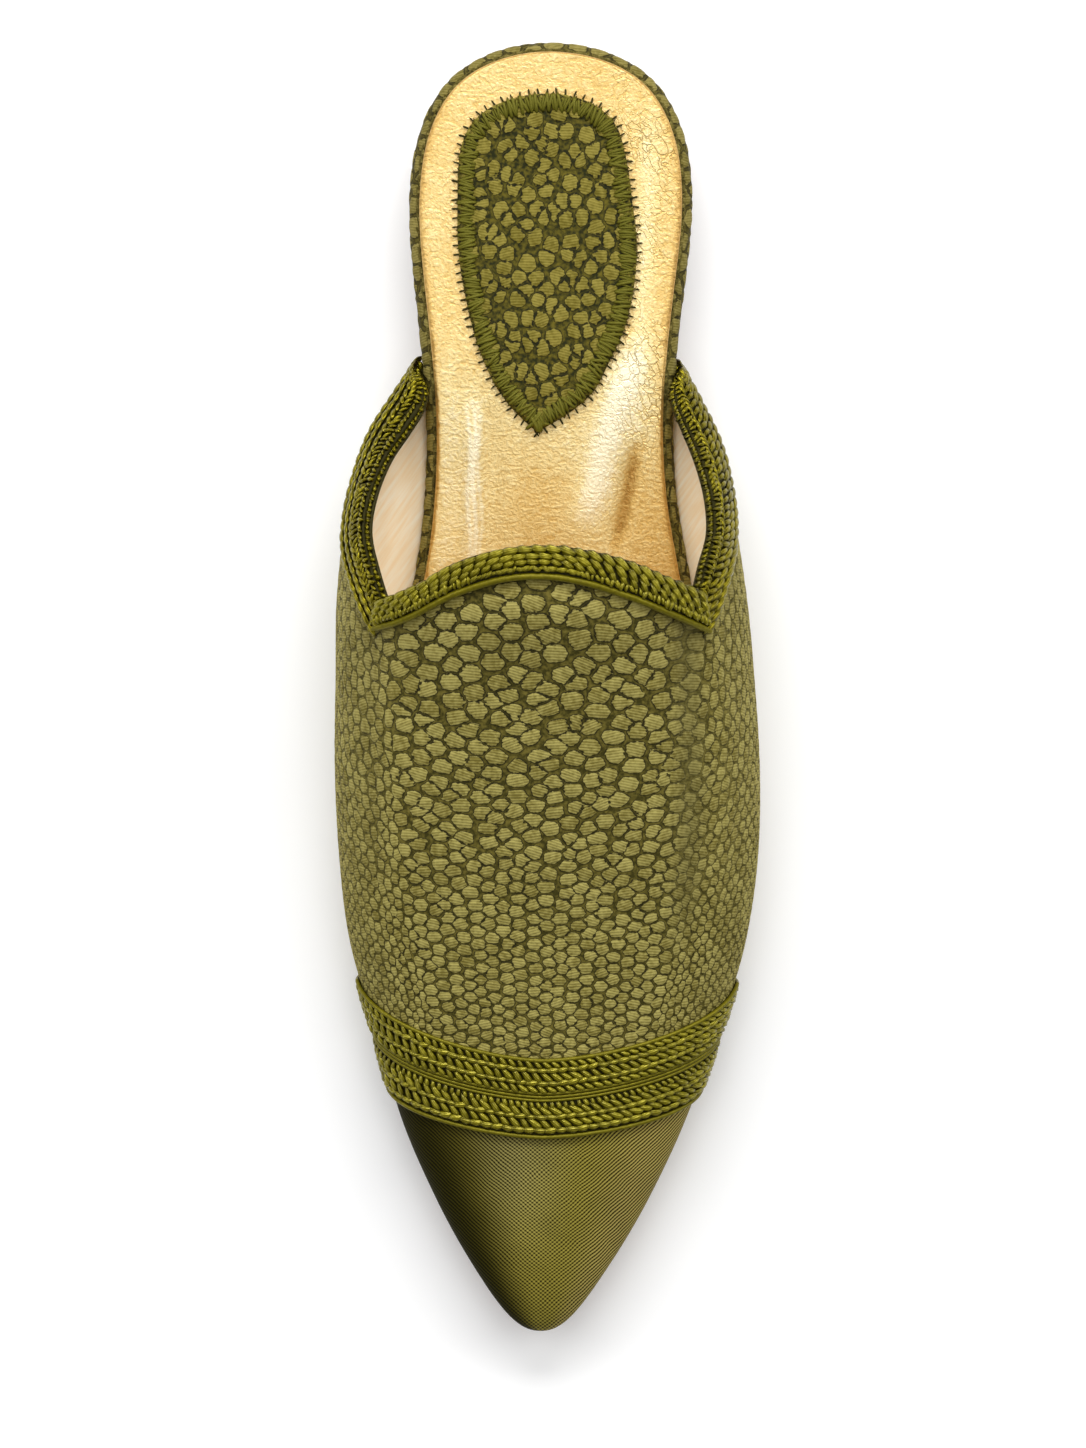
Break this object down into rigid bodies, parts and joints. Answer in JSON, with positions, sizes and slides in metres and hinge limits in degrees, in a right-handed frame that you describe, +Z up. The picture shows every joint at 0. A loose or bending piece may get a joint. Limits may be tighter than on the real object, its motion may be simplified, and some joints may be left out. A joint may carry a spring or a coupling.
{
  "type": "babouche",
  "caption": "Backless pointed slipper with a scale-patterned fabric upper, braided collar and toe bands, satin toe cap, gold insole and stitched heel patch.",
  "frame": {"origin": "on the floor, at the middle of the shoe's length and width", "axes": "+Y from toe to heel, +Z up, +X to the left of a wearer, which is the right of the picture"},
  "size_m": [0.0882, 0.2686, 0.0604],
  "materials": {
    "sole_leather": "plain tanned sole leather, waxed edge",
    "heel_leather": "dark tanned leather lift",
    "scale_fabric": "olive jacquard with raised thread scales on a darker ground",
    "gilt_leather": "crinkled metallic gold leather",
    "patch_fabric": "olive jacquard with larger scales, thread border",
    "toe_satin": "olive satin twill",
    "braid_silk": "glossy olive braided silk cord"
  },
  "bodies": {
    "root": {"outsole": "sole_leather", "heel_lift": "heel_leather", "footbed": "scale_fabric", "insole": "gilt_leather", "heel_patch": "patch_fabric", "upper": "scale_fabric", "toe_cap": "toe_satin", "toe_braid_back": "braid_silk", "toe_braid_front": "braid_silk", "collar_braid": "braid_silk"}
  },
  "joints": []
}
